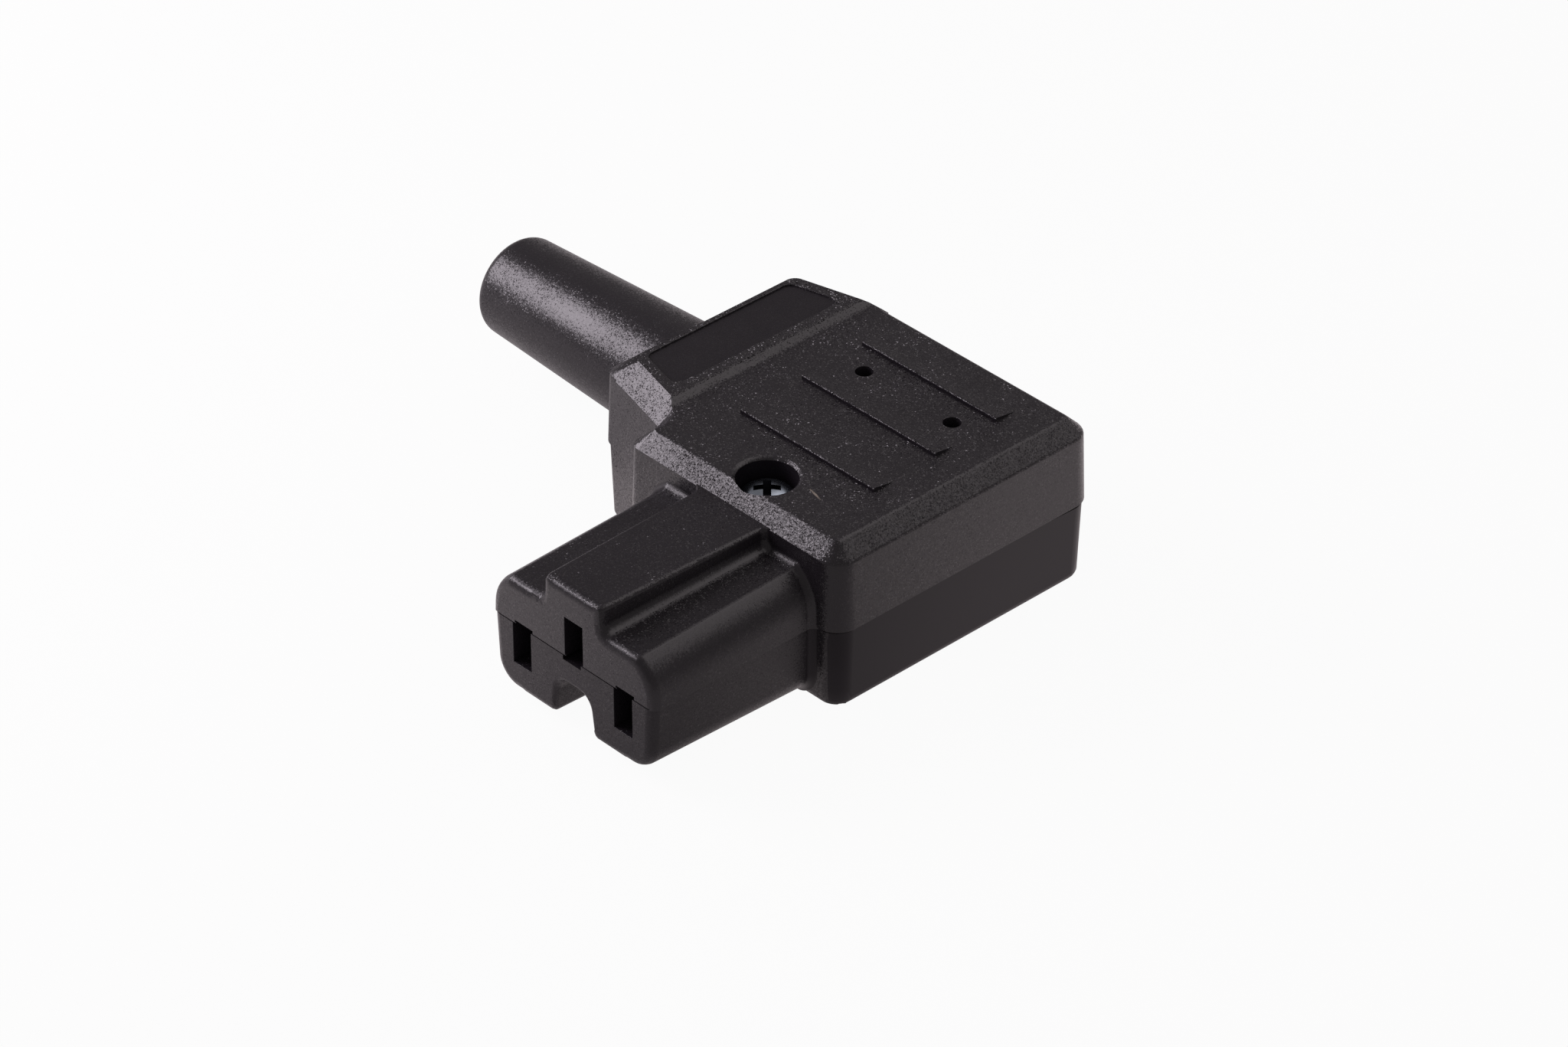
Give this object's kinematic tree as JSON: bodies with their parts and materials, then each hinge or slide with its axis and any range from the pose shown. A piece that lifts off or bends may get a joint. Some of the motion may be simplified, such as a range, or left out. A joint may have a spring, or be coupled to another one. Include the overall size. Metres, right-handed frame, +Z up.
{
  "type": "right-angle appliance connector",
  "caption": "Rewireable right-angle mains appliance connector: keyed nose with slots for flat blades, split housing held by a screw, and a tapered cable sleeve leaving to one side",
  "frame": {"origin": "on the flat mating face of the nose, midway between the line and neutral slots at half their height", "axes": "-Y points out of the mating face towards the inlet, -X is the way the cable leaves, +Z is up, away from the underside; millimetres in the source, metres in the row"},
  "size_m": [0.0671, 0.054, 0.0185],
  "materials": {
    "housing_plastic": "black moulded plastic with a fine spark-eroded texture",
    "sleeve_plastic": "black flexible plastic with the same fine texture",
    "zinc_steel": "bright zinc-plated steel",
    "contact_brass": "plain pressed and drawn brass",
    "clamp_plastic": "plain grey moulded plastic"
  },
  "bodies": {
    "root": {"upper_shell": "housing_plastic", "lower_shell": "housing_plastic", "cable_sleeve": "sleeve_plastic", "housing_screw": "zinc_steel", "line_contact": "contact_brass", "neutral_contact": "contact_brass", "earth_contact": "contact_brass", "line_terminal": "contact_brass", "neutral_terminal": "contact_brass", "earth_terminal": "contact_brass", "terminal_screws": "zinc_steel", "cord_clamp": "clamp_plastic", "clamp_screws": "zinc_steel"}
  },
  "joints": []
}
